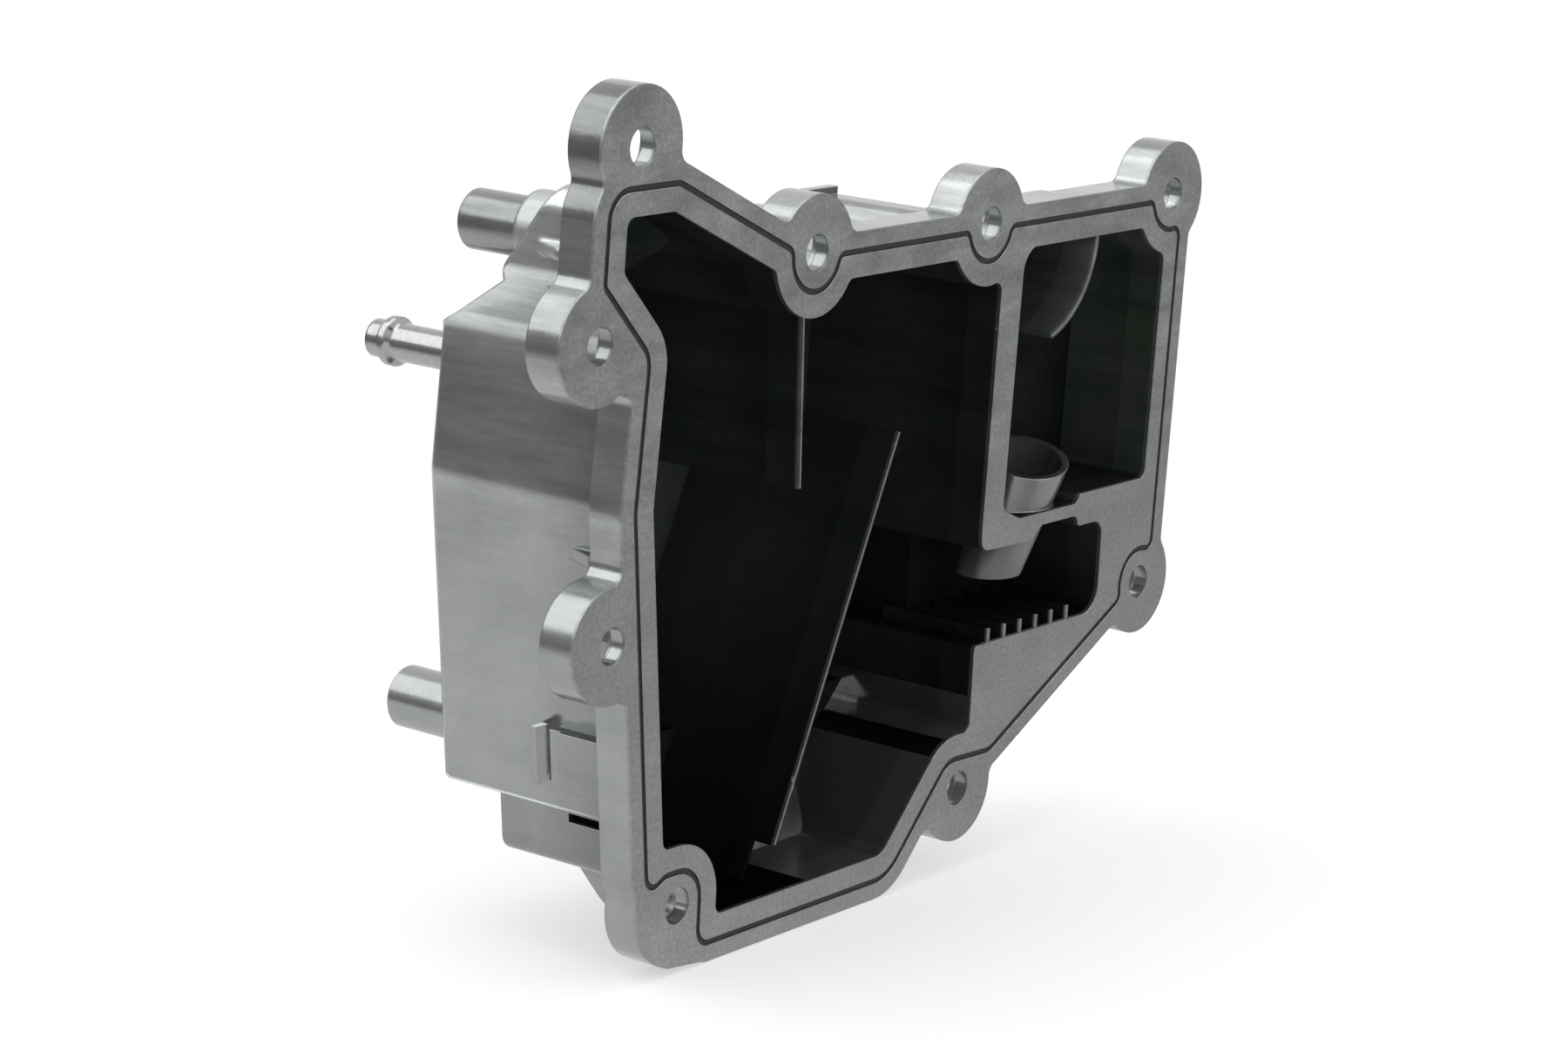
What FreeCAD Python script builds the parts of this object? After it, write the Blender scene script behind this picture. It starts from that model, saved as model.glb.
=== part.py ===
import FreeCAD, Part
import math
import os

V = FreeCAD.Vector

# Frame: the origin is the centre of the lower-left bolt hole on the machined flange face. X runs to the
# right along the flange, Y goes back from the face into the housing, Z is up. Sizes are in millimetres.

# Bolt holes of the flange, for M6 bolts with heads sunk in cups cast into the back of the lugs
TOP_ROW_Z = 107.5
RIGHT_X = 141.5
RIGHT_COLUMN_X = 81.3
BOLTS = [(-17.5, TOP_ROW_Z + 21.5), (-26.0, TOP_ROW_Z - 9.3), (-20.0, 48.4), (RIGHT_COLUMN_X, 3.7),
         (RIGHT_X - 2.9, 33.0), (RIGHT_X, TOP_ROW_Z), (RIGHT_COLUMN_X, TOP_ROW_Z), (30.0, TOP_ROW_Z)]
DATUM_BOLT = (0.0, 0.0)
BOLT_HOLE_R = 3.2
BOLT_LAND = 2.9
BOLT_CUP_R = 7.9
BOLT_CUP_END_Y = 14.0
LUG_R = 10.0
DATUM_LUG_R = 10.6

# Flange and its seal groove
FLANGE_T = 7.0
RIM = 3.4
LUG_FILLET_R = 2.5
GROOVE_W = 1.05
GROOVE_DEPTH = 2.2
SEAL_BYPASS_R = 6.6
SEAL_LEFT = [(-8.2, 3.6), (-15.45, 69.5)]
SEAL_TOP_Z = TOP_ROW_Z - 0.9
SEAL_HIGH_Z = TOP_ROW_Z + 15.0
SEAL_LOW_Z = -8.5
SEAL_DATUM_R = 6.0
SEAL_GAP = 0.05
SEAL_SUNK = 0.3

# Walls and depths, all measured from the flange face
SEAL_LAND = 4.5
WALL = 4.0
CORNER_R = 1.8
OUTER_CORNER_R = 3.2
DEEP_Y = 45.8
LOW_Y = 32.0
SHALLOW_Y = 24.0
DEEP_END_X = RIGHT_X - 46.9
STEP_Z = 14.6
SUMP_Z = 4.2
BACK_ROUND_R = 2.4
BACK_TRIM_X = 80.0

# Sloping faces: a point on the outer face, and how far it moves back per mm of X and of Z. The first roof falls
# away from the back at the upper left, the steeper second one carries the upper pipe, and the sump slopes below.
ROOFS = [(V(-13.6, DEEP_Y, TOP_ROW_Z - 13.9), 0.25, -1.75), (V(-13.6, 23.0, TOP_ROW_Z - 1.5), 0.0, -0.69)]
SUMP_SLOPE = [(V(0, LOW_Y, SUMP_Z), 0.0, 1.05)]

# Openings of the flange: ends of the sump and of the comb channel, the web between channel and right chamber
SUMP_END_X = 83.5
CHANNEL_END_X = RIGHT_X - 17.0
COMB_Z = 29.8
WEB_X = (96.4, 115.4)
WEB_Z = (49.5, 51.8)
CLEAN_FLOOR_Z = 53.5
CLEAN_LEFT_X = (90.6, 92.6)

# Baffles
BAFFLE_T = 1.2
SLANT_BAFFLE_T = 0.9
BAFFLE_SUNK = 0.4
HANGING_BAFFLE_X = 27.7
HANGING_BAFFLE_END_Z = 67.2
SLANT_BAFFLE_TOP = (57.2, 73.2)
SLANT_BAFFLE_FOOT = (24.0, -2.0)
DRAIN_NOTCH_Z = 4.6
DRAIN_NOTCH_DEPTH = 4.9
SCROLL_CENTRE = (97.6, TOP_ROW_Z - 4.4)
SCROLL_R = 19.2
SCROLL_END_DEG = -72.0

# Comb on the floor of the lower channel
COMB_PITCH = 5.15
COMB_TEETH = 6
COMB_FIRST_X = 88.9
TOOTH_T = 0.9
TOOTH_H = 2.5

# Drain funnel that runs down from the right chamber through the web; its mouth is cut on a slant
DUCT_MOUTH = V(109.3, 8.6, 59.8)
DUCT_FOOT = V(99.0, 8.3, 39.8)
DUCT_MOUTH_R = 8.3
DUCT_FOOT_R = 5.8
DUCT_WALL = 1.3
DUCT_MOUTH_PER_X = 0.08
DUCT_MOUTH_PER_Y = 0.24

# Pipes pressed into the back: axis place, outer radius, bore radius and far end
PRESS_GAP = 0.02
PIPE_TAIL = 1.2
SEAT_Y = DEEP_Y - WALL - 7.0
NIPPLE_AT = (-4.6, TOP_ROW_Z - 20.4)
NIPPLE_R = 3.3
NIPPLE_BORE_R = 2.3
NIPPLE_END_Y = 66.8
BEAD_R = 4.3
BEAD_Y = 62.6
BEAD_HALF_W = 1.6
UPPER_PIPE_AT = (-12.6, TOP_ROW_Z + 4.7)
UPPER_PIPE_R = 5.1
UPPER_PIPE_END_Y = 38.6
UPPER_BOSS_WALL = 1.5
UPPER_BOSS_END_Y = 24.8
LOWER_PIPE_AT = (-1.6, 24.4)
LOWER_PIPE_R = 5.5
LOWER_PIPE_END_Y = 60.6
PIPE_WALL = 1.4
PIPE_CHAMFER = 0.6

# Pads and gussets on the left wall
PAD_Z = (19.4, 29.4)
PAD_END_Y = 15.8
PAD_STEP = 0.8
PAD_STEP_END_Y = 18.4
CLIP_Y = (20.5, 21.9)
SLOT_Y = (8.5, 17.0)
SLOT_Z = (12.7, 14.3)
SLOT_DEPTH = 1.8
GUSSET_T = 2.0
GUSSET_END_Y = 15.6
GUSSETS = [(59.4, -17.2, -13.6), (TOP_ROW_Z + 3.5, -28.2, -24.2)]

# Stop tab on top of the deep housing
TAB_X = (DEEP_END_X - 9.1, DEEP_END_X)
TAB_T = 2.0
TAB_H = 2.0

FAR = 400.0


def outline(corners):
    """Closed face on the flange plane through (x, z) corners; a third number rounds that corner."""
    count = len(corners)
    turning = sum(corners[i - 1][1] * corners[i][0] - corners[i - 1][0] * corners[i][1] for i in range(count))
    corners = corners if turning > 0 else corners[::-1]
    cuts = []
    for i in range(count):
        here = V(corners[i][0], 0, corners[i][1])
        before = V(corners[i - 1][0], 0, corners[i - 1][1])
        after = V(corners[(i + 1) % count][0], 0, corners[(i + 1) % count][1])
        radius = corners[i][2] if len(corners[i]) > 2 else 0
        if not radius:
            cuts.append((here, here, here))
            continue
        back = (before - here).normalize()
        ahead = (after - here).normalize()
        half = back.getAngle(ahead) / 2
        reach = radius / math.tan(half)
        middle = (back + ahead).normalize() * (radius / math.sin(half) - radius)
        cuts.append((here + back * reach, here + middle, here + ahead * reach))
    edges = []
    for i in range(count):
        start, middle, end = cuts[i]
        if start != end:
            edges.append(Part.Arc(start, middle, end).toShape())
        edges.append(Part.LineSegment(end, cuts[(i + 1) % count][0]).toShape())
    return Part.Face(Part.Wire(edges))


def disc(at, radius):
    circle = Part.Circle(V(at[0], 0, at[1]), V(0, 1, 0), radius)
    return Part.Face(Part.Wire(circle.toShape()))


def whole(shape):
    """The largest face of what a cut or a join of faces leaves."""
    return max(shape.Faces, key=lambda face: face.Area)


def grown(face, by):
    return whole(face.makeOffset2D(by))


def rounded(face, radius):
    """Rounds the corners that point out of a face."""
    return grown(grown(face, -radius), radius)


def filled(face, radius):
    """Rounds the corners that point into a face."""
    return grown(grown(face, radius), -radius)


def prism(face, front, back):
    solid = face.copy()
    solid.translate(V(0, front, 0))
    return solid.extrude(V(0, back - front, 0))


def rod(at, radius, front, back):
    return Part.makeCylinder(radius, back - front, V(at[0], front, at[1]), V(0, 1, 0))


def box(x, y, z):
    return Part.makeBox(x[1] - x[0], y[1] - y[0], z[1] - z[0], V(x[0], y[0], z[0]))


def behind(slopes, inset):
    """Everything behind all the sloping faces of a list, which are moved forward by inset."""
    blocks = []
    for point, per_x, per_z in slopes:
        normal = V(-per_x, 1, -per_z).normalize()
        block = Part.makeBox(2 * FAR, 2 * FAR, FAR, V(-FAR, -FAR, 0))
        turn = FreeCAD.Rotation(V(0, 0, 1), normal)
        block.Placement = FreeCAD.Placement(point - normal * inset, turn, V(0, 0, 0))
        blocks.append(block)
    return blocks[0].common(blocks[1:]) if blocks[1:] else blocks[0]


def seal_area(datum_corners):
    """Area inside the centre line of the seal groove, which bends round four of the bolt holes, with the
    corners that its lower left has beside the datum bolt."""
    corners = [(-24.8, SEAL_HIGH_Z, 5), (-7.6, SEAL_HIGH_Z, 4), (27.5, SEAL_TOP_Z), (RIGHT_X + 3.2, SEAL_TOP_Z),
               (RIGHT_X + 0.7, 35.8), (90.9, 9.1, 4), (77.7, 9.5, 6), (60.5, SEAL_LOW_Z, 9),
               (SEAL_DATUM_R, SEAL_LOW_Z, 3)]
    corners += datum_corners + [SEAL_LEFT[0] + (2.2,), SEAL_LEFT[1] + (8,)]
    area = outline(corners + [(-13.4, TOP_ROW_Z - 12.5, 5), (-25.4, TOP_ROW_Z - 0.1, 2)])
    for bolt in BOLTS[4:]:
        area = whole(area.cut(disc(bolt, SEAL_BYPASS_R)))
    return filled(rounded(area, CORNER_R), CORNER_R)


SEAL = seal_area([(SEAL_DATUM_R, SEAL_DATUM_R, SEAL_DATUM_R), (-3.4, SEAL_DATUM_R, 3)])
INSIDE = grown(SEAL, -SEAL_LAND)


def flange_area():
    foot = outline([(-0.2 * DATUM_LUG_R, -DATUM_LUG_R), (DATUM_LUG_R, SEAL_LOW_Z - RIM), (DATUM_LUG_R, 0),
                    (-0.2 * DATUM_LUG_R, 0)])
    lugs = [disc(bolt, LUG_R) for bolt in BOLTS] + [disc(DATUM_BOLT, DATUM_LUG_R), foot]
    area = grown(SEAL, RIM).fuse(lugs)
    return filled(whole(area.removeSplitter()), LUG_FILLET_R)


def main_chamber():
    limits = outline([(-FAR, FAR), (96.0, FAR), (84.4, WEB_Z[0] + 1.7, 2), (84.6, WEB_Z[0] - 2, 2),
                      (WEB_X[0] + 4, WEB_Z[0] - 2.5, 2), (WEB_X[0] + 7.2, WEB_Z[0], 1), (WEB_X[1], WEB_Z[0], 0.6),
                      (WEB_X[1] + 0.8, WEB_Z[0] - 2.1, 0.6), (CHANNEL_END_X, WEB_Z[0] - 2.1, 3),
                      (CHANNEL_END_X, COMB_Z, 5), (SUMP_END_X + 0.6, COMB_Z, 1), (SUMP_END_X - 0.9, -FAR),
                      (-FAR, -FAR)])
    return rounded(whole(INSIDE.common(limits)), CORNER_R)


def right_chamber():
    top = SEAL_TOP_Z - SEAL_LAND + 0.3
    limits = outline([(CLEAN_LEFT_X[1], top, 5), (CLEAN_LEFT_X[0], WEB_Z[1] + 2.4, 1.5), (WEB_X[0], WEB_Z[1], 2),
                      (WEB_X[1], WEB_Z[1], 0.5),
                      (WEB_X[1] + 0.7, CLEAN_FLOOR_Z, 0.5), (FAR, CLEAN_FLOOR_Z), (FAR, top)])
    return rounded(whole(INSIDE.common(limits)), CORNER_R)


def body(front, inset, area):
    """Space of the housing behind its outline: deep at the left, less deep below and behind the right
    chamber. With no inset it is the outside; with the wall as inset, and the area of a chamber, the inside."""
    below = STEP_Z + inset
    right = DEEP_END_X - inset
    deep = area.common(outline([(-FAR, below), (right, below), (right, FAR), (-FAR, FAR)]))
    low = area.common(outline([(-FAR, -FAR), (right, -FAR), (right, below), (-FAR, below)]))
    shallow = area.common(outline([(right, -FAR), (FAR, -FAR), (FAR, FAR), (right, FAR)]))
    parts = [prism(face, front, DEEP_Y - inset).cut(behind(ROOFS, inset)) for face in deep.Faces]
    parts += [prism(face, front, LOW_Y - inset).cut(behind(SUMP_SLOPE, inset)) for face in low.Faces]
    parts += [prism(face, front, SHALLOW_Y - inset) for face in shallow.Faces]
    return parts


def merged(solids):
    return solids[0].fuse(solids[1:]).removeSplitter()


def outer_area():
    """Both chambers with their walls, as one outline: the seal outline moved in, with the lower-left corner
    filled, less the land that the flange has below the comb channel and the right chamber."""
    land = outline([(SUMP_END_X + WALL, -FAR), (FAR, -FAR), (FAR, CLEAN_FLOOR_Z - WALL),
                    (CHANNEL_END_X + WALL, CLEAN_FLOOR_Z - WALL), (CHANNEL_END_X + WALL, COMB_Z - WALL),
                    (SUMP_END_X + WALL, COMB_Z - WALL)])
    squared = seal_area([(SEAL_DATUM_R, SEAL_LEFT[0][1])])
    area = whole(grown(squared, WALL - SEAL_LAND).cut(land))
    return filled(rounded(area, OUTER_CORNER_R), 0.75 * WALL)


def plate(start, end, thick, front, back):
    """Upright plate between two (x, z) points of its middle line."""
    along = V(end[0] - start[0], 0, end[1] - start[1]).normalize()
    side = V(-along.z, 0, along.x) * (thick / 2)
    a = V(start[0], 0, start[1])
    b = V(end[0], 0, end[1])
    corners = [a + side, b + side, b - side, a - side]
    return prism(outline([(c.x, c.z) for c in corners]), front, back)


def scroll_baffle(back):
    """Curved baffle that hangs from the top wall of the right chamber."""
    outer = disc(SCROLL_CENTRE, SCROLL_R + BAFFLE_T / 2)
    ring = outer.cut(disc(SCROLL_CENTRE, SCROLL_R - BAFFLE_T / 2))
    reach = 2 * SCROLL_R
    end = math.radians(SCROLL_END_DEG)
    cut = (SCROLL_CENTRE[0] + reach * math.cos(end), SCROLL_CENTRE[1] + reach * math.sin(end))
    wedge = outline([SCROLL_CENTRE, cut, (SCROLL_CENTRE[0] + 2 * reach, cut[1]),
                     (SCROLL_CENTRE[0] + 2 * reach, SCROLL_CENTRE[1] + 0.2)])
    return prism(whole(ring.common(wedge)), BAFFLE_SUNK, back)


def baffles(deep_floor, low_floor, shallow_floor):
    top = (HANGING_BAFFLE_X - 0.9, TOP_ROW_Z)
    end = (HANGING_BAFFLE_X + 0.9, HANGING_BAFFLE_END_Z)
    hanging = plate(top, end, BAFFLE_T, BAFFLE_SUNK, deep_floor)
    slant = plate(SLANT_BAFFLE_TOP, SLANT_BAFFLE_FOOT, SLANT_BAFFLE_T, BAFFLE_SUNK, deep_floor)
    slant = slant.cut(box((-FAR, FAR), (-1, DRAIN_NOTCH_DEPTH), (-FAR, DRAIN_NOTCH_Z)))
    teeth = []
    for i in range(COMB_TEETH):
        x = COMB_FIRST_X + i * COMB_PITCH
        teeth.append(box((x - TOOTH_T / 2, x + TOOTH_T / 2), (BAFFLE_SUNK, shallow_floor), (COMB_Z - 1, COMB_Z + TOOTH_H)))
    return [hanging, slant, scroll_baffle(shallow_floor)] + teeth


def duct(wall, beyond):
    """Inclined funnel with a level foot and a slanted mouth, its skin moved in by wall."""
    along = DUCT_MOUTH - DUCT_FOOT
    share = (DUCT_MOUTH_R - DUCT_FOOT_R) / along.Length
    margin = along.Length / 2
    start = DUCT_FOOT - along * (margin / along.Length)
    length = along.Length + 2 * margin
    low_r = DUCT_FOOT_R - wall - share * margin
    skin = Part.makeCone(low_r, low_r + share * length, length, start, along)
    skin = skin.cut(box((-FAR, FAR), (-FAR, FAR), (-FAR, DUCT_FOOT.z - beyond)))
    above = Part.makeBox(2 * FAR, 2 * FAR, FAR, V(-FAR, -FAR, beyond))
    normal = V(-DUCT_MOUTH_PER_X, -DUCT_MOUTH_PER_Y, 1)
    above.Placement = FreeCAD.Placement(DUCT_MOUTH, FreeCAD.Rotation(V(0, 0, 1), normal), V(0, 0, 0))
    return skin.cut(above)


def spigot(at, radius, end_y, start_y):
    """Pipe stub on the back, with a chamfered mouth."""
    tube = rod(at, radius, start_y, end_y)
    rim = [edge for edge in tube.Edges if edge.BoundBox.YMin > end_y - 0.1]
    return tube.makeChamfer(PIPE_CHAMFER, rim)


def back_edges(solid, y, x_max, z_max):
    """Edges of a solid in the plane at y that start before x_max and end below z_max."""
    found = []
    for edge in solid.Edges:
        b = edge.BoundBox
        if abs(b.YMin - y) < 0.05 and abs(b.YMax - y) < 0.05 and b.XMin < x_max and b.ZMax < z_max:
            found.append(edge)
    return found


def outer_body():
    """Outside of the chambers, with the edges round its deep back rounded."""
    solid = merged(body(0, 0, outer_area()))
    return solid.makeFillet(BACK_ROUND_R, back_edges(solid, DEEP_Y, BACK_TRIM_X, ROOFS[0][0].z - 0.4))


def wall_trim():
    """Raised pad with its clip post on the left wall, the gussets, and the stop tab on the top."""
    edge = prism(grown(SEAL, RIM - 0.6), 0, CLIP_Y[1])
    step = prism(grown(SEAL, RIM - 0.6 - PAD_STEP), 0, PAD_STEP_END_Y)
    trim = [box((-FAR, 0), (0, PAD_END_Y), PAD_Z).common(edge), box((-FAR, 0), CLIP_Y, PAD_Z).common(edge),
            box((-FAR, 0), (0, PAD_STEP_END_Y), PAD_Z).common(step)]
    for z, rim_x, wall_x in GUSSETS:
        corners = [V(rim_x, FLANGE_T - 1, z), V(wall_x + 3, FLANGE_T - 1, z), V(wall_x + 3, GUSSET_END_Y, z),
                   V(wall_x, GUSSET_END_Y, z), V(rim_x, FLANGE_T + 1, z), V(rim_x, FLANGE_T - 1, z)]
        trim.append(Part.Face(Part.makePolygon(corners)).extrude(V(0, 0, GUSSET_T)))
    top = SEAL_TOP_Z - 1.0
    return trim + [box(TAB_X, (DEEP_Y - TAB_T, DEEP_Y), (top - 1.5 * WALL, top + TAB_H))]


def groove():
    half = GROOVE_W / 2
    return prism(grown(SEAL, half).cut(grown(SEAL, -half)).Faces[0], -1, GROOVE_DEPTH)


def seal_cord():
    half = GROOVE_W / 2 - SEAL_GAP
    return prism(grown(SEAL, half).cut(grown(SEAL, -half)).Faces[0], SEAL_SUNK, GROOVE_DEPTH)


def housing():
    chambers = [main_chamber(), right_chamber()]
    solid = merged([prism(flange_area(), 0, FLANGE_T), outer_body()] + wall_trim())
    solid = solid.fuse([rod(UPPER_PIPE_AT, UPPER_PIPE_R + UPPER_BOSS_WALL, FLANGE_T, UPPER_BOSS_END_Y),
                        spigot(UPPER_PIPE_AT, UPPER_PIPE_R, UPPER_PIPE_END_Y, FLANGE_T),
                        spigot(LOWER_PIPE_AT, LOWER_PIPE_R, LOWER_PIPE_END_Y, DEEP_Y - WALL)])
    for bolt in BOLTS + [DATUM_BOLT]:
        solid = solid.cut([rod(bolt, BOLT_HOLE_R, -1, FLANGE_T), rod(bolt, BOLT_CUP_R, BOLT_LAND, BOLT_CUP_END_Y)])
    skin = outer_area()
    slot = prism(skin.cut(grown(skin, -SLOT_DEPTH)).Faces[0], SLOT_Y[0], SLOT_Y[1])
    solid = solid.cut(slot.common(box((-FAR, 0), SLOT_Y, SLOT_Z)))
    for chamber in chambers:
        solid = solid.cut(body(-1, WALL, chamber))
    inner = merged(body(0, WALL, INSIDE))
    ribs = [rib.common(inner) for rib in baffles(DEEP_Y, LOW_Y, SHALLOW_Y)]
    solid = solid.fuse(ribs + [duct(0, 0)])
    solid = solid.cut([duct(DUCT_WALL, 1), groove()])
    solid = solid.cut([rod(UPPER_PIPE_AT, UPPER_PIPE_R - PIPE_WALL, SEAL_LAND, FAR),
                       rod(LOWER_PIPE_AT, LOWER_PIPE_R - PIPE_WALL, SEAT_Y, FAR),
                       rod(NIPPLE_AT, NIPPLE_R + PRESS_GAP, SEAT_Y, FAR)])
    return solid.removeSplitter()


def hose_nipple():
    """Turned pipe with a bead that holds a hose, pressed into the back wall."""
    start = DEEP_Y - WALL - PIPE_TAIL
    low = BEAD_Y - BEAD_HALF_W
    high = BEAD_Y + BEAD_HALF_W
    crest = 0.4 * BEAD_HALF_W
    profile = [(NIPPLE_BORE_R, start), (NIPPLE_R, start), (NIPPLE_R, low), (BEAD_R, BEAD_Y - crest),
               (BEAD_R, BEAD_Y + crest), (NIPPLE_R, high), (NIPPLE_R, NIPPLE_END_Y), (NIPPLE_BORE_R, NIPPLE_END_Y)]
    points = [V(NIPPLE_AT[0] + radius, y, NIPPLE_AT[1]) for radius, y in profile]
    turned = Part.Face(Part.makePolygon(points + points[:1]))
    return turned.revolve(V(NIPPLE_AT[0], 0, NIPPLE_AT[1]), V(0, 1, 0), 360)


NODES = {"housing": housing, "seal_cord": seal_cord, "hose_nipple": hose_nipple}

os.makedirs("parts", exist_ok=True)
for name, make in NODES.items():
    make().exportStep("parts/" + name + ".step")
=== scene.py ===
import bmesh
import bpy
from mathutils import Matrix, Vector


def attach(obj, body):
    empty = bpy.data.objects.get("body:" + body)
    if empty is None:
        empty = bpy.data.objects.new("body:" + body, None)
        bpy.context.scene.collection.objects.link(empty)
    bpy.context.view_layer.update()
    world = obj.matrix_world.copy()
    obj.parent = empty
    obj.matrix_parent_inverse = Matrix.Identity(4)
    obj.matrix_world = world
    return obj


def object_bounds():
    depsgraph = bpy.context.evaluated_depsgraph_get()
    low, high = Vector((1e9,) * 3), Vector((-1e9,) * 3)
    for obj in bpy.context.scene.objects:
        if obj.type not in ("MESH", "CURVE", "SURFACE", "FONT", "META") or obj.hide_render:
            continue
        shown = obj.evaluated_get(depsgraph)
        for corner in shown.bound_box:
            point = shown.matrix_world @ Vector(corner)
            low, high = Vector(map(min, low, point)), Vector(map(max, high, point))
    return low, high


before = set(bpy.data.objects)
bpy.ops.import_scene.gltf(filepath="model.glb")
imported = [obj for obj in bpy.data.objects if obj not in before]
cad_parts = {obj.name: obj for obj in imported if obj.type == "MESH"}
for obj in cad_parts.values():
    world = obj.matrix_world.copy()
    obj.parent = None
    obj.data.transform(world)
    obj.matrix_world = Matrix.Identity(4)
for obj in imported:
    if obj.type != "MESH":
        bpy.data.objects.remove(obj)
cad_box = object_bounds()

# The cast housing
# One light-alloy casting with a milled flange face. Its outside is satin, a little uneven from the mould
# and greasy-bright on the turned lugs, with painted light and shade in places, and the chambers inside are
# blackened by oil soot, whose tone also carries painted light and shade.
MARGIN = 0.0001
WALL = 0.004
FLANGE_T = 0.007
MILLED_T = 0.0006
DEEP_Y = 0.0458
LOW_Y = 0.032
SHALLOW_Y = 0.024
DEEP_END_X = 0.0946
LEFT_WALL_X = -0.004
STEP_Z = 0.0146

# Sloping back faces: a point on the outer face, and how far it moves back per metre of X and of Z
ROOF = (Vector((-0.0136, DEEP_Y, 0.0936)), 0.25, -1.75)
UPPER_ROOF = (Vector((0.0, 0.023, 0.106)), 0.0, -0.69)
SUMP_SLOPE = (Vector((0.0, LOW_Y, 0.0042)), 0.0, 1.05)

# Outlines of the chambers on the flange face, counter-clockwise, each (x, z)
POCKET_OUTLINE = [(-0.0229, 0.107), (-0.0121, 0.0955), (0.03, 0.0955), (0.03, 0.1025), (-0.0088, 0.1199),
                  (-0.0229, 0.1199)]
UPPER_OUTLINE = [(-0.0121, 0.055), (0.1414, 0.0517), (0.1414, 0.1040), (0.02, 0.1040), (-0.0121, 0.0960)]
MIDDLE_OUTLINE = [(-0.0095, 0.0275), (0.1262, 0.0275), (0.1262, 0.056), (-0.0121, 0.060)]
SUMP_OUTLINE = [(-0.0055, -0.0050), (0.059, -0.0050), (0.0762, 0.0124), (0.0848, 0.0160), (0.0848, 0.032),
                (-0.0098, 0.032)]
BOLT_POCKETS = [(0.0, 0.0), (0.0813, 0.0037), (0.1386, 0.033), (0.1415, 0.1075), (0.0813, 0.1075), (0.03, 0.1075)]
POCKET_R = 0.0093

# Drain funnel, scroll baffle, and the collar round the upper pipe
DUCT_FOOT = Vector((0.099, 0.0083, 0.0398))
DUCT_MOUTH = Vector((0.1093, 0.0086, 0.0598))
DUCT_FOOT_R = 0.0058
DUCT_MOUTH_R = 0.0083
DUCT_WALL = 0.0013
DUCT_SKIN_IN = 0.35 * DUCT_WALL
DUCT_SKIN_OUT = 0.0004
DUCT_TAIL = 0.004
DUCT_REACH = 1.25 * (DUCT_MOUTH - DUCT_FOOT).length
SCROLL_CENTRE = (0.0976, 0.0, 0.1031)
SCROLL_R = 0.0192
COLLAR_CENTRE = (-0.0126, 0.0, 0.1122)
COLLAR_R = 0.0066
COLLAR_WALL = 0.0006

# Front edges of the inner walls: how sooty they are from FRONT_Y to BEHIND_Y, and where painted highlights lie
FRONT_SOOT = 0.88
HIGHLIGHT_SOOT = 0.25
FRONT_Y = 0.0002
BEHIND_Y = 0.0009
HIGHLIGHT_W = 0.0002
HIGHLIGHT_LINES = [((0.0272, 0.1075), (0.0290, 0.0672)), ((0.0572, 0.0732), (0.0240, -0.0020))]
COMB = [(0.0870, 0.0285), (0.1166, 0.0285), (0.1166, 0.0342), (0.0870, 0.0342)]

# How clean the funnel's skin is at its foot and at its mouth; the rise towards the mouth is painted light
FUNNEL_CLEAN_AND_LIT = (0.5, 0.95)

# Where the soot's painted light and shade change: a limit, or where a change along Y, Z or the way a face points
# starts and ends
SCROLL_W = 0.001
SCROLL_LIGHT_Z = (0.082, 0.1)
PAINTED_LIGHT_Y = (0.002, DEEP_Y)
RIGHT_X = DEEP_END_X - WALL - 0.0005
RIGHT_BACK_Y = SHALLOW_Y - WALL - 0.0004
OVER_COMB_Z = (0.034, 0.054)
SUMP_SHADE_Z = (0.005, 0.05)
LYING_UP = (0.5, 0.9)
LYING_Z = 0.055

# Where the outside changes: as above, and for the collar and the clip the middle and half width of a band
STREAK_STRETCH = (0.4, 0.1, 1.0)
STREAKY_Z = (0.055, 0.072)
NECK_X = -0.009
NECK_Z = (0.096, 0.106)
SHOULDER_Z = (0.088, 0.096)
PIPE_FRONT_Y = 0.0248
PIPE_UNDER_Z = 0.1065
STEP_EDGE_Z = (STEP_Z - 0.0006, STEP_Z + 0.0006)
LIP_Z = (STEP_Z + 0.0004, STEP_Z + 0.0008)
LIP_Y = (0.008, 0.02)
COLLAR_BAND_Y = (0.016, 0.0086)
TOP_LUG_X = -0.02
TOP_LUG_Z = 0.118
STUB_R = COLLAR_R - 0.001
STUB_Y = 0.02
# Painted shade: from FLANGE_T back to here the outside darkens towards the flange
FLANGE_SHADE_Y = (FLANGE_T, 0.024)
CLIP_X = -0.008
CLIP_BAND_Y = (0.0212, 0.0009)
CLIP_BAND_Z = (0.0244, 0.0056)
CLIP_FACE_X = -0.0073
CLIP_FACE_LEAN = 0.11
CLIP_TILT = 1300.0

# Radius to which shading rounds the edges, how much more at the neck, and the metal's share and colours
EDGE_R = 0.00035
NECK_EDGE_R = 0.0008
METAL = 0.92
ALLOY_DARK = (0.29, 0.305, 0.295, 1)
ALLOY_LIGHT = (0.35, 0.365, 0.36, 1)
SOOT_DARK = (0.0125, 0.0165, 0.013, 1)
SOOT_LIGHT = (0.0195, 0.0205, 0.0175, 1)
BEVEL_SAMPLES = 8


def add_node(tree, kind, *values, **settings):
    """A shader node with its inputs linked or set in order."""
    made = tree.nodes.new(kind)
    for name, value in settings.items():
        setattr(made, name, value)
    for i, value in enumerate(values):
        if isinstance(value, bpy.types.NodeSocket):
            tree.links.new(value, made.inputs[i])
        else:
            made.inputs[i].default_value = value
    return made


def maths(tree, operation, *values):
    return add_node(tree, "ShaderNodeMath", *values, operation=operation).outputs[0]


def vectors(tree, operation, *values):
    return add_node(tree, "ShaderNodeVectorMath", *values, operation=operation)


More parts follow.
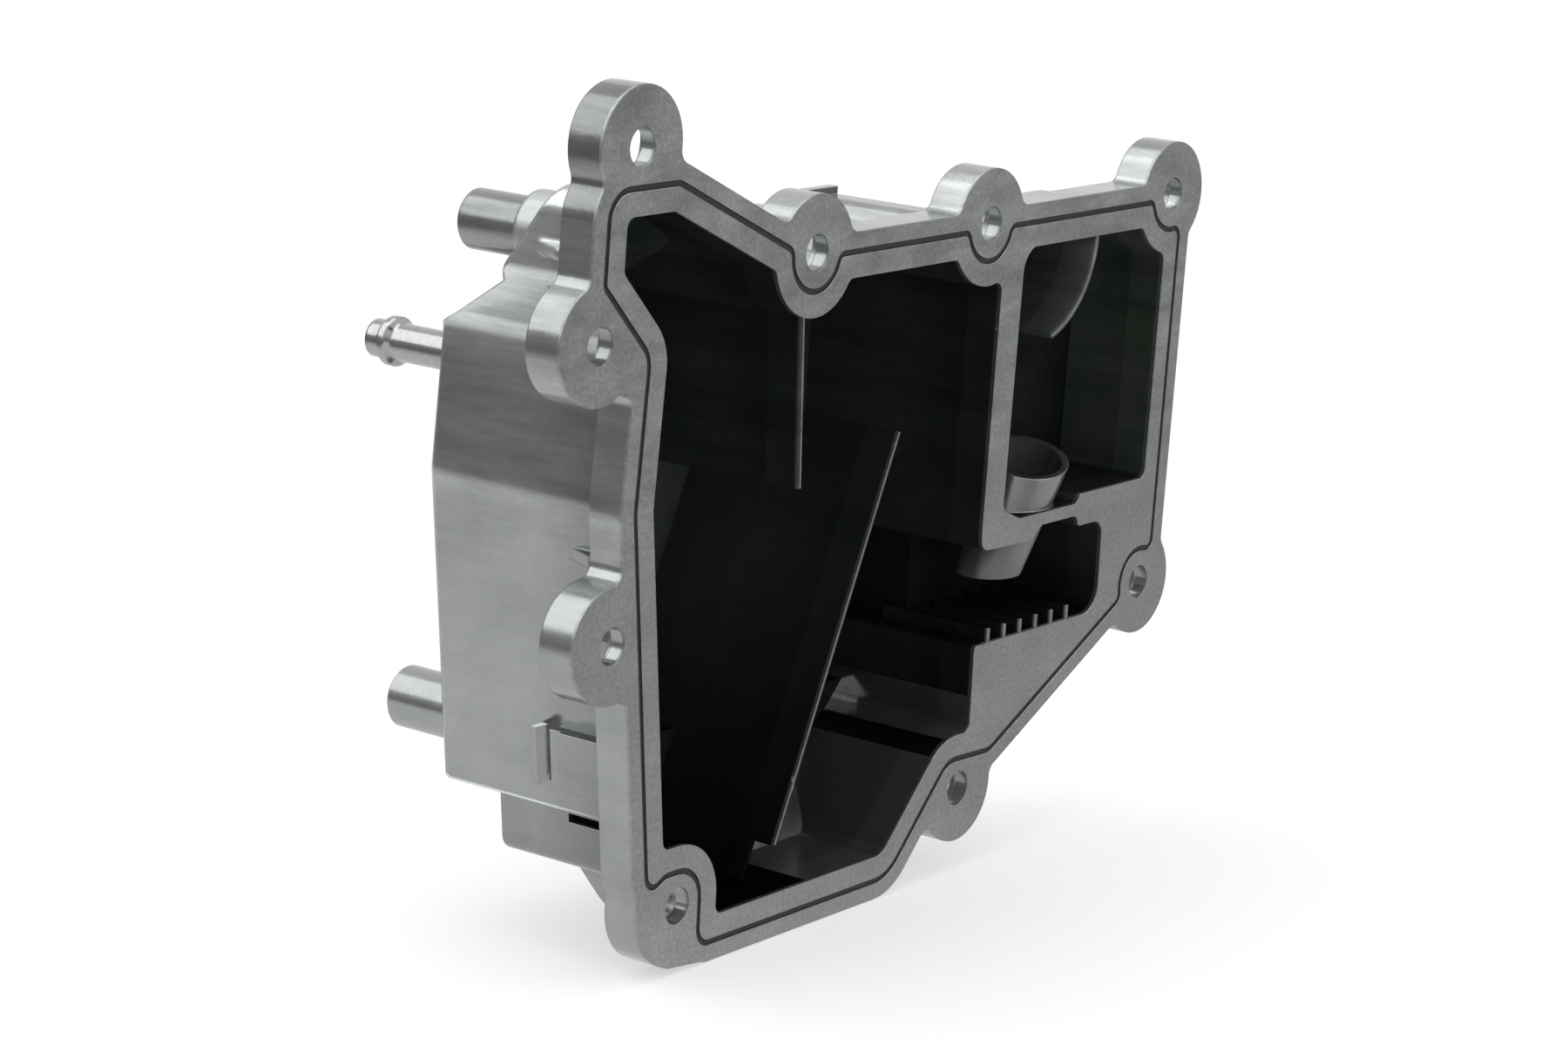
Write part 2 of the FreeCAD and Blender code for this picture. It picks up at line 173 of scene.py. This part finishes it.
def times(tree, *values):
    """The product of two or more values."""
    product = values[0]
    for value in values[1:]:
        product = maths(tree, "MULTIPLY", product, value)
    return product


def over(tree, value, limit):
    return maths(tree, "GREATER_THAN", value, limit)


def under(tree, value, limit):
    return maths(tree, "LESS_THAN", value, limit)


def opposite(tree, mask):
    return maths(tree, "SUBTRACT", 1.0, mask)


def fade(tree, value, start, end, low=0.0, high=1.0):
    """Goes from low, where the value is at start, to high, where it is at end."""
    return add_node(tree, "ShaderNodeMapRange", value, start, end, low, high).outputs[0]


def soft_fade(tree, value, start, end, low=0.0, high=1.0):
    """The same with soft ends."""
    made = add_node(tree, "ShaderNodeMapRange", value, start, end, low, high)
    made.interpolation_type = "SMOOTHSTEP"
    return made.outputs[0]


def toned(tree, tone, mask, change):
    """A tone changed by that share of itself where the mask is 1."""
    return maths(tree, "MULTIPLY", tone, maths(tree, "MULTIPLY_ADD", mask, change, 1.0))


def scaled(tree, colour, factor):
    made = vectors(tree, "SCALE", colour)
    tree.links.new(factor, made.inputs["Scale"])
    return made.outputs[0]


def away_from(tree, place, centre):
    return vectors(tree, "DISTANCE", place, centre).outputs["Value"]


def noise(tree, place, scale, detail=2.0, roughness=0.5):
    made = add_node(tree, "ShaderNodeTexNoise", place)
    made.inputs["Scale"].default_value = scale
    made.inputs["Detail"].default_value = detail
    made.inputs["Roughness"].default_value = roughness
    return made.outputs["Fac"]


def two_tones(tree, factor, dark, light, start=0.0, end=1.0):
    """A colour that goes from dark to light."""
    ramp = add_node(tree, "ShaderNodeValToRGB", factor)
    for stop, position, colour in zip(ramp.color_ramp.elements, (start, end), (dark, light)):
        stop.position = position
        stop.color = colour
    return ramp.outputs["Color"]


def across_line(tree, x, z, start, end):
    """How far each place lies to the left of the line from start to end, and the line's own value of it."""
    run = Vector((end[0] - start[0], end[1] - start[1])).normalized()
    across = maths(tree, "MULTIPLY", x, -run.y)
    return maths(tree, "MULTIPLY_ADD", z, run.x, across), -run.y * start[0] + run.x * start[1]


def side_of(tree, x, z, start, end):
    """1 to the left of the line from start to end, seen from the open side, and 0 to its right."""
    return over(tree, *across_line(tree, x, z, start, end))


def near_line(tree, x, z, start, end, half_width):
    """1 on a strip along the line from start to end."""
    return maths(tree, "COMPARE", *across_line(tree, x, z, start, end), half_width)


def inside_outline(tree, x, z, corners):
    """1 inside a convex outline given counter-clockwise."""
    sides = [side_of(tree, x, z, corner, corners[(i + 1) % len(corners)]) for i, corner in enumerate(corners)]
    return times(tree, *sides)


def wall_middle(tree, x, z, at, per_x, per_z):
    """How far back the middle of a sloping wall lies at each x and z; its outer face passes through at."""
    half_wall = Vector((per_x, 1.0, per_z)).length * WALL / 2
    height = maths(tree, "MULTIPLY_ADD", z, per_z, at.y - per_x * at.x - per_z * at.z - half_wall)
    return maths(tree, "MULTIPLY_ADD", x, per_x, height)


def new_group(name, output):
    """Node group fed with the position, with one value as output; returns it with its two ends."""
    group = bpy.data.node_groups.new(name, "ShaderNodeTree")
    group.interface.new_socket("Position", in_out="INPUT", socket_type="NodeSocketVector")
    group.interface.new_socket(output, in_out="OUTPUT", socket_type="NodeSocketFloat")
    position = group.nodes.new("NodeGroupInput").outputs[0]
    return group, position, group.nodes.new("NodeGroupOutput").inputs[0]


def new_material(name):
    """Material with a Principled surface; returns it with its node tree and that shader."""
    made = bpy.data.materials.new(name)
    made.use_nodes = True
    return made, made.node_tree, made.node_tree.nodes["Principled BSDF"]


def chamber_mask():
    """Node group: 1 on the surfaces of the chambers behind the flange face, 0 on all the others; less on the
    front edges of the inner walls, and least on painted highlights along some of them.
    """
    group, position, result = new_group("chamber_surfaces", "Inside")
    x, y, z = add_node(group, "ShaderNodeSeparateXYZ", position).outputs
    flat = add_node(group, "ShaderNodeCombineXYZ", x, 0.0, z).outputs[0]
    area = inside_outline(group, x, z, POCKET_OUTLINE)
    for corners in (UPPER_OUTLINE, MIDDLE_OUTLINE, SUMP_OUTLINE):
        area = maths(group, "MAXIMUM", area, inside_outline(group, x, z, corners))
    for pocket_x, pocket_z in BOLT_POCKETS:
        area = times(group, area, over(group, away_from(group, flat, (pocket_x, 0, pocket_z)), POCKET_R))
    low = under(group, z, STEP_Z + WALL / 2)
    right = over(group, x, DEEP_END_X - WALL / 2)
    deep = DEEP_Y - WALL / 2
    low_floor = maths(group, "MINIMUM", wall_middle(group, x, z, *SUMP_SLOPE), LOW_Y - WALL / 2)
    deep_floor = maths(group, "MULTIPLY_ADD", low, maths(group, "SUBTRACT", low_floor, deep), deep)
    shallow_floor = maths(group, "MULTIPLY", right, SHALLOW_Y - WALL / 2)
    floor_y = maths(group, "ADD", times(group, deep_floor, opposite(group, right)), shallow_floor)
    roof = wall_middle(group, x, z, *ROOF)
    roof = maths(group, "MAXIMUM", roof, wall_middle(group, x, z, *UPPER_ROOF))
    area = times(group, area, under(group, y, floor_y), under(group, y, roof))
    # Painted highlights: lighter lines on the scroll baffle's edge, the comb's front ends and the fronts of the
    # hanging and the slanted baffle, where the soot thins
    ring = maths(group, "COMPARE", away_from(group, flat, SCROLL_CENTRE), SCROLL_R, HIGHLIGHT_W)
    edge_highlight = maths(group, "MAXIMUM", inside_outline(group, x, z, COMB), ring)
    for start, end in HIGHLIGHT_LINES:
        edge_highlight = maths(group, "MAXIMUM", edge_highlight, near_line(group, x, z, start, end, HIGHLIGHT_W))
    front = maths(group, "MULTIPLY_ADD", edge_highlight, HIGHLIGHT_SOOT - FRONT_SOOT, FRONT_SOOT)
    front = times(group, front, over(group, y, FRONT_Y))
    area = times(group, area, maths(group, "MAXIMUM", over(group, y, BEHIND_Y), front))
    group.links.new(area, result)
    return group


def duct_skin():
    """Node group: 1 on the outer skin and the rim of the drain funnel, 0 on its bore and everywhere else."""
    group, position, result = new_group("duct_skin", "Skin")
    axis = DUCT_MOUTH - DUCT_FOOT
    reach = vectors(group, "SUBTRACT", position, tuple(DUCT_FOOT)).outputs[0]
    along = vectors(group, "DOT_PRODUCT", reach, tuple(axis.normalized())).outputs["Value"]
    length = vectors(group, "LENGTH", reach).outputs["Value"]
    square = maths(group, "SUBTRACT", times(group, length, length), times(group, along, along))
    radius = maths(group, "SQRT", square)
    skin_r = maths(group, "MULTIPLY_ADD", along, (DUCT_MOUTH_R - DUCT_FOOT_R) / axis.length, DUCT_FOOT_R)
    beyond = maths(group, "SUBTRACT", radius, skin_r)
    skin = times(group, over(group, beyond, -DUCT_SKIN_IN), under(group, beyond, DUCT_SKIN_OUT),
                 over(group, along, -DUCT_TAIL), under(group, along, DUCT_REACH))
    group.links.new(skin, result)
    return group


def grouped(tree, group, place):
    """The first output of a node group that is fed with the position."""
    made = tree.nodes.new("ShaderNodeGroup")
    made.node_tree = group
    tree.links.new(place, made.inputs[0])
    return made.outputs[0]


def dress(node, material):
    """Gives a CAD node its one material."""
    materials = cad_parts[node].data.materials
    materials.clear()
    materials.append(material)


alloy, tree, surface = new_material("cast_alloy")
coordinates = tree.nodes.new("ShaderNodeTexCoord")
place = coordinates.outputs["Object"]
x, y, z = add_node(tree, "ShaderNodeSeparateXYZ", place).outputs
flat = add_node(tree, "ShaderNodeCombineXYZ", x, 0.0, z).outputs[0]

# Soot fills the chambers, less on the funnel, where painted light grows towards its mouth, and less under painted
# light on the scroll baffle
skin = times(tree, grouped(tree, duct_skin(), place), fade(tree, z, DUCT_FOOT.z, DUCT_MOUTH.z, *FUNNEL_CLEAN_AND_LIT))
inside = times(tree, grouped(tree, chamber_mask(), place), opposite(tree, skin))
# Painted light on the scroll baffle's bowl, stronger towards its top, thins the soot there
scroll_light = maths(tree, "COMPARE", away_from(tree, flat, SCROLL_CENTRE), SCROLL_R, SCROLL_W)
scroll_light = times(tree, scroll_light, over(tree, x, DEEP_END_X), fade(tree, z, *SCROLL_LIGHT_Z, high=0.32))
inside = times(tree, inside, opposite(tree, scroll_light))
milled = under(tree, y, MILLED_T)
behind_flange = over(tree, y, FLANGE_T + MARGIN)
within_flange = under(tree, y, FLANGE_T + MARGIN)

drawn = vectors(tree, "MULTIPLY", place, STREAK_STRETCH).outputs[0]
streak = noise(tree, drawn, scale=170.0, detail=6.0, roughness=0.68)
cloud = noise(tree, place, scale=75.0, detail=5.0)
grain = noise(tree, place, scale=1300.0, detail=4.0)
tone = two_tones(tree, cloud, ALLOY_DARK, ALLOY_LIGHT, start=0.3, end=0.72)
soot = two_tones(tree, cloud, SOOT_DARK, SOOT_LIGHT, start=0.35, end=0.7)

# The soot's tone is scaled by painted light and shade: painted light makes it greyer towards the back and
# lighter in the right chamber's front, and painted shade makes it blackest at the comb, in the sump, at the right
# chamber's back, and on what lies flat below the web
soot_painted_tone = fade(tree, y, *PAINTED_LIGHT_Y, low=0.75, high=2.6)
right = over(tree, x, RIGHT_X)
right_back = over(tree, y, RIGHT_BACK_Y)
over_comb = fade(tree, z, *OVER_COMB_Z, low=0.1)
right_front_light = times(tree, times(tree, right, over_comb), opposite(tree, right_back))
sump_shade = fade(tree, z, *SUMP_SHADE_Z, low=0.32)
soot_painted_tone = times(tree, soot_painted_tone, maths(tree, "MULTIPLY_ADD", right_front_light, 1.5, sump_shade))
soot_painted_tone = toned(tree, soot_painted_tone, times(tree, right, right_back), -0.45)
facing_up = add_node(tree, "ShaderNodeSeparateXYZ", coordinates.outputs["Normal"]).outputs[2]
lying_shade = fade(tree, facing_up, *LYING_UP, low=1.0, high=0.35)
soot_painted_tone = times(tree, soot_painted_tone, maths(tree, "MAXIMUM", lying_shade, over(tree, z, LYING_Z)))
colour = add_node(tree, "ShaderNodeMix", data_type="RGBA")
tree.links.new(inside, colour.inputs["Factor"])
tree.links.new(tone, colour.inputs[6])
tree.links.new(scaled(tree, soot, soot_painted_tone), colour.inputs[7])

# Stains and painted light of the outside: streaks on the upper body, a painted highlight on the shoulder below
# the upper pipe, painted shade on the sump's wall with a painted highlight on the lip above it, and duller metal
# on the collar, the top left lug and the upper pipe
mottle_and_painted_light = maths(tree, "SUBTRACT", streak, 0.5)
mottle_and_painted_light = maths(tree, "ADD", times(tree, mottle_and_painted_light, fade(tree, z, *STREAKY_Z, low=0.3, high=1.5)), 1.0)
left_wall = times(tree, under(tree, x, LEFT_WALL_X), behind_flange)
neck = times(tree, fade(tree, z, *NECK_Z), behind_flange, under(tree, x, NECK_X))
before_pipe = maths(tree, "MAXIMUM", under(tree, y, PIPE_FRONT_Y), under(tree, z, PIPE_UNDER_Z))
shoulder_light = times(tree, fade(tree, z, *SHOULDER_Z), before_pipe, left_wall)
above_step = soft_fade(tree, z, *STEP_EDGE_Z)
sump_wall_shade = times(tree, left_wall, opposite(tree, above_step))
lip_highlight = times(tree, fade(tree, z, *LIP_Z, low=1.0, high=0.0), fade(tree, y, *LIP_Y, low=0.2), left_wall,
            over(tree, z, STEP_Z))
pipe_reach = away_from(tree, flat, COLLAR_CENTRE)
collar = times(tree, maths(tree, "COMPARE", pipe_reach, COLLAR_R, COLLAR_WALL),
               maths(tree, "COMPARE", y, *COLLAR_BAND_Y))
top_lug = times(tree, within_flange, opposite(tree, milled), under(tree, x, TOP_LUG_X), over(tree, z, TOP_LUG_Z))
stub = times(tree, under(tree, pipe_reach, STUB_R), over(tree, y, STUB_Y))
for mask, change in [(shoulder_light, 0.85), (sump_wall_shade, -0.2), (lip_highlight, 1.3), (collar, -0.26), (top_lug, -0.36),
                     (stub, -0.22)]:
    mottle_and_painted_light = toned(tree, mottle_and_painted_light, mask, change)
speckle = maths(tree, "SUBTRACT", grain, 0.5)
speckle = times(tree, speckle, maths(tree, "MULTIPLY_ADD", milled, 0.6, 0.15))
mottle_and_painted_light = times(tree, mottle_and_painted_light, maths(tree, "ADD", speckle, 1.0))
mottle_and_painted_light = toned(tree, mottle_and_painted_light, milled, -0.08)
# Painted shade: the outside darkens towards the back of the flange
flange_shade = fade(tree, y, *FLANGE_SHADE_Y, low=0.74)
mottle_and_painted_light = times(tree, mottle_and_painted_light, maths(tree, "MAXIMUM", flange_shade, within_flange))
tree.links.new(scaled(tree, colour.outputs[2], mottle_and_painted_light), surface.inputs["Base Color"])

surface.inputs["Specular IOR Level"].default_value = 0.0
tree.links.new(maths(tree, "MULTIPLY_ADD", inside, -METAL, METAL), surface.inputs["Metallic"])
rough = maths(tree, "MULTIPLY_ADD", cloud, 0.12, 0.13)
for mask, change in [(milled, 0.18), (inside, 0.3), (collar, 0.14)]:
    rough = maths(tree, "MULTIPLY_ADD", mask, change, rough)
tree.links.new(rough, surface.inputs["Roughness"])

# Shading rounds the cast edges, more at the neck, tilts the clip's front a little and lays grain over it all
edge = tree.nodes.new("ShaderNodeBevel")
edge.samples = BEVEL_SAMPLES
tree.links.new(maths(tree, "MULTIPLY_ADD", neck, NECK_EDGE_R, EDGE_R), edge.inputs["Radius"])
clip = times(tree, maths(tree, "COMPARE", y, *CLIP_BAND_Y), maths(tree, "COMPARE", z, *CLIP_BAND_Z),
             under(tree, x, CLIP_X))
proud = maths(tree, "ADD", x, maths(tree, "MULTIPLY_ADD", z, CLIP_FACE_LEAN, -CLIP_FACE_X))
proud = times(tree, maths(tree, "MINIMUM", proud, 0.0), clip)
tilt = tree.nodes.new("ShaderNodeBump")
tilt.inputs["Distance"].default_value = 0.0007
tree.links.new(maths(tree, "MULTIPLY", proud, CLIP_TILT), tilt.inputs["Height"])
tree.links.new(edge.outputs["Normal"], tilt.inputs["Normal"])
bump = tree.nodes.new("ShaderNodeBump")
bump.inputs["Strength"].default_value = 0.1
bump.inputs["Distance"].default_value = 0.0002
tree.links.new(grain, bump.inputs["Height"])
tree.links.new(tilt.outputs["Normal"], bump.inputs["Normal"])
tree.links.new(bump.outputs["Normal"], surface.inputs["Normal"])
dress("housing", alloy)

# The wall's lower step
# The left wall of the deep chamber stands a little proud of the sump below it. The mould leaves that step
# with a rounded lower edge, and it dies away upwards.
STEP_TOP_Z = 0.040
STEP_TOP_X = -0.0117
STEP_LEAN = 0.0022
STEP_T = 0.0008
STEP_ROUND = 0.0005
STEP_ROUND_FACES = 4
BACK_ROUND_R = 0.0024
bpy.ops.object.select_all(action="DESELECT")
deep, tall = DEEP_Y - BACK_ROUND_R - FLANGE_T, STEP_TOP_Z - STEP_Z
middle = Vector((STEP_TOP_X + STEP_T / 2, FLANGE_T + deep / 2, STEP_Z + tall / 2))
bpy.ops.mesh.primitive_cube_add(size=1, location=middle, scale=(STEP_T, deep, tall))
wall_step = bpy.context.object
wall_step.name = "wall_step"
bpy.ops.object.transform_apply(location=True, rotation=True, scale=True)
bpy.ops.object.mode_set(mode="EDIT")
shape = bmesh.from_edit_mesh(wall_step.data)
for face in shape.faces:
    face.select_set(face.normal.z < -0.5)
bmesh.update_edit_mesh(wall_step.data)
bpy.ops.transform.translate(value=(STEP_LEAN, 0, 0))
bpy.ops.mesh.select_mode(type="EDGE")
bpy.ops.mesh.select_all(action="DESELECT")
shape = bmesh.from_edit_mesh(wall_step.data)
lower_edge = Vector((STEP_TOP_X + STEP_LEAN, middle.y, STEP_Z))
rear_edge = Vector((STEP_TOP_X + STEP_LEAN / 2, FLANGE_T + deep, middle.z))
for line in shape.edges:
    halfway = (line.verts[0].co + line.verts[1].co) / 2
    line.select_set(min((halfway - lower_edge).length, (halfway - rear_edge).length) < MARGIN)
bmesh.update_edit_mesh(wall_step.data)
bpy.ops.mesh.bevel(offset=STEP_ROUND, segments=STEP_ROUND_FACES)
bpy.ops.object.mode_set(mode="OBJECT")
bpy.ops.object.shade_smooth_by_angle()
wall_step.data.materials.append(alloy)
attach(wall_step, "root")

# The seal cord
# A black rubber cord that fills the groove of the flange face, just below the face. It is matt, with a faint
# dust of oil on it.
RUBBER_DARK = (0.006, 0.007, 0.006, 1)
RUBBER_LIGHT = (0.02, 0.022, 0.02, 1)
rubber, tree, surface = new_material("seal_rubber")
place = tree.nodes.new("ShaderNodeTexCoord").outputs["Object"]
dust = two_tones(tree, noise(tree, place, scale=400.0), RUBBER_DARK, RUBBER_LIGHT)
tree.links.new(dust, surface.inputs["Base Color"])
surface.inputs["Roughness"].default_value = 0.6
dress("seal_cord", rubber)

# The hose nipple
# Turned steel pipe, bright plated, pressed into the back wall. The plating is a little uneven in tone, and the
# turned edges are rounded.
PLATE_DARK = (0.3, 0.3, 0.31, 1)
PLATE_LIGHT = (0.42, 0.42, 0.43, 1)
TURNED_EDGE_R = 0.0007
plate, tree, surface = new_material("bright_metal")
place = tree.nodes.new("ShaderNodeTexCoord").outputs["Object"]
plating = two_tones(tree, noise(tree, place, scale=900.0), PLATE_DARK, PLATE_LIGHT)
tree.links.new(plating, surface.inputs["Base Color"])
surface.inputs["Metallic"].default_value = 1.0
surface.inputs["Roughness"].default_value = 0.14
edge = tree.nodes.new("ShaderNodeBevel")
edge.samples = BEVEL_SAMPLES
edge.inputs["Radius"].default_value = TURNED_EDGE_R
tree.links.new(edge.outputs["Normal"], surface.inputs["Normal"])
dress("hose_nipple", plate)

# The floor
# A plain pale sheet, level all over, just below the object's lowest lug. The camera sees it white away from the
# object and shaded near it, and bright metal mirrors a glow painted on the sheet for reflections only, uneven
# across it.
FLOOR_SIZE = 12
FLOOR_GAP = 0.0002
PAPER = (0.9, 0.9, 0.9, 1)
FLOOR_SHADE_REACH = (0.16, 0.4)
FLOOR_SHADE = 0.5
GLOW_ALONG = (-0.8, 0.6, 0)
GLOW_REACH = (-0.5, 0.5)
GLOW_STOPS = [(0.42, 0.7), (0.58, 1.0), (0.68, 1.0), (0.94, 0.3)]
GLOW_START = 0.62
GLOW_END = 0.28
bpy.ops.object.select_all(action="DESELECT")
bpy.ops.mesh.primitive_plane_add(size=FLOOR_SIZE, location=(0, 0, cad_box[0][2] - FLOOR_GAP))
floor = bpy.context.object
floor.name = "floor"
paper, tree, surface = new_material("paper")
surface.inputs["Base Color"].default_value = PAPER
surface.inputs["Roughness"].default_value = 0.9
light_path = tree.nodes.new("ShaderNodeLightPath")
camera_ray, glossy_ray = light_path.outputs["Is Camera Ray"], light_path.outputs["Is Glossy Ray"]
place = tree.nodes.new("ShaderNodeTexCoord").outputs["Object"]
reach = vectors(tree, "LENGTH", place).outputs["Value"]
open_floor = soft_fade(tree, reach, *FLOOR_SHADE_REACH, low=FLOOR_SHADE)
# Painted glow for reflections: its strength follows the direction from the object, brightest a little behind on
# the left
backward = vectors(tree, "DOT_PRODUCT", place, GLOW_ALONG).outputs["Value"]
painted_glow = add_node(tree, "ShaderNodeValToRGB", fade(tree, backward, *GLOW_REACH))
for position, level in GLOW_STOPS:
    stop = painted_glow.color_ramp.elements.new(position)
    stop.color = (level, level, level, 1)
painted_glow.color_ramp.elements[0].color = (GLOW_START, GLOW_START, GLOW_START, 1)
painted_glow.color_ramp.elements[-1].color = (GLOW_END, GLOW_END, GLOW_END, 1)
seen = maths(tree, "MAXIMUM", times(tree, camera_ray, open_floor), glossy_ray)
shade = maths(tree, "MAXIMUM", painted_glow.outputs["Color"], camera_ray)
glow = add_node(tree, "ShaderNodeEmission", (1, 1, 1, 1), shade)
blend = add_node(tree, "ShaderNodeMixShader", seen, surface.outputs[0], glow.outputs[0])
tree.links.new(blend.outputs[0], tree.nodes["Material Output"].inputs["Surface"])
floor.data.materials.append(paper)

# Light
# A studio tent, dim round the horizon and bright above and behind the object, with soft lamps behind on the
# left, above and in front. The camera sees the tent white.
CENTRE = Vector((0.058, 0.02, 0.06))
TENT_HEIGHT = (0.1, 0.45)
TENT_LOW = 0.34
TENT_HIGH = 0.95
BACKDROP_TOWARD = (0.8, 0.6, 0)
BACKDROP_REACH = (0.55, 0.9)
LAMPS = [("lamp_back", (-0.5, 0.62, 0.78), 1.2, 1.0, 4.8),
         ("lamp_top", (0.05, 0.15, 1.0), 0.8, 0.8, 3.5),
         ("lamp_front", (0.5, -0.9, 0.55), 0.7, 0.5, 1.6)]
world = bpy.data.worlds.new("room")
bpy.context.scene.world = world
world.use_nodes = True
tree = world.node_tree
back = tree.nodes["Background"]
camera_ray = tree.nodes.new("ShaderNodeLightPath").outputs["Is Camera Ray"]
toward = tree.nodes.new("ShaderNodeTexCoord").outputs["Generated"]
height = add_node(tree, "ShaderNodeSeparateXYZ", toward).outputs[2]
dome = fade(tree, height, *TENT_HEIGHT, low=TENT_LOW, high=TENT_HIGH)
backdrop = vectors(tree, "DOT_PRODUCT", toward, BACKDROP_TOWARD).outputs["Value"]
dome = maths(tree, "MAXIMUM", dome, fade(tree, backdrop, *BACKDROP_REACH))
back.inputs["Color"].default_value = (1, 1, 1, 1)
tree.links.new(maths(tree, "MAXIMUM", dome, camera_ray), back.inputs["Strength"])
for name, at, wide, high, power in LAMPS:
    lamp = bpy.data.lights.new(name, "AREA")
    lamp.shape = "RECTANGLE"
    lamp.size = wide
    lamp.size_y = high
    lamp.energy = power
    holder = bpy.data.objects.new(name, lamp)
    holder.location = at
    holder.rotation_euler = (CENTRE - Vector(at)).to_track_quat("-Z", "Y").to_euler()
    bpy.context.scene.collection.objects.link(holder)

# Camera
# It stands to the left of the open side and a little above it, with a long lens, as the photograph was taken.
CAMERA_AT = Vector((-0.5196597, -0.4055016, 0.2180016))
CAMERA_RIGHT = Vector((0.605905, -0.794013, 0.049229))
CAMERA_UP = Vector((0.149125, 0.174145, 0.973363))
CAMERA_AHEAD = Vector((0.781435, 0.582424, -0.223922))
FOCAL_MM = 94.99
SENSOR_MM = 36.0
lens = bpy.data.cameras.new("camera")
lens.lens = FOCAL_MM
lens.sensor_width = SENSOR_MM
camera = bpy.data.objects.new("camera", lens)
turn = Matrix((CAMERA_RIGHT, CAMERA_UP, -CAMERA_AHEAD)).transposed().to_4x4()
camera.matrix_world = Matrix.Translation(CAMERA_AT) @ turn
bpy.context.scene.collection.objects.link(camera)
bpy.context.scene.camera = camera
bpy.context.scene.view_settings.view_transform = "Standard"
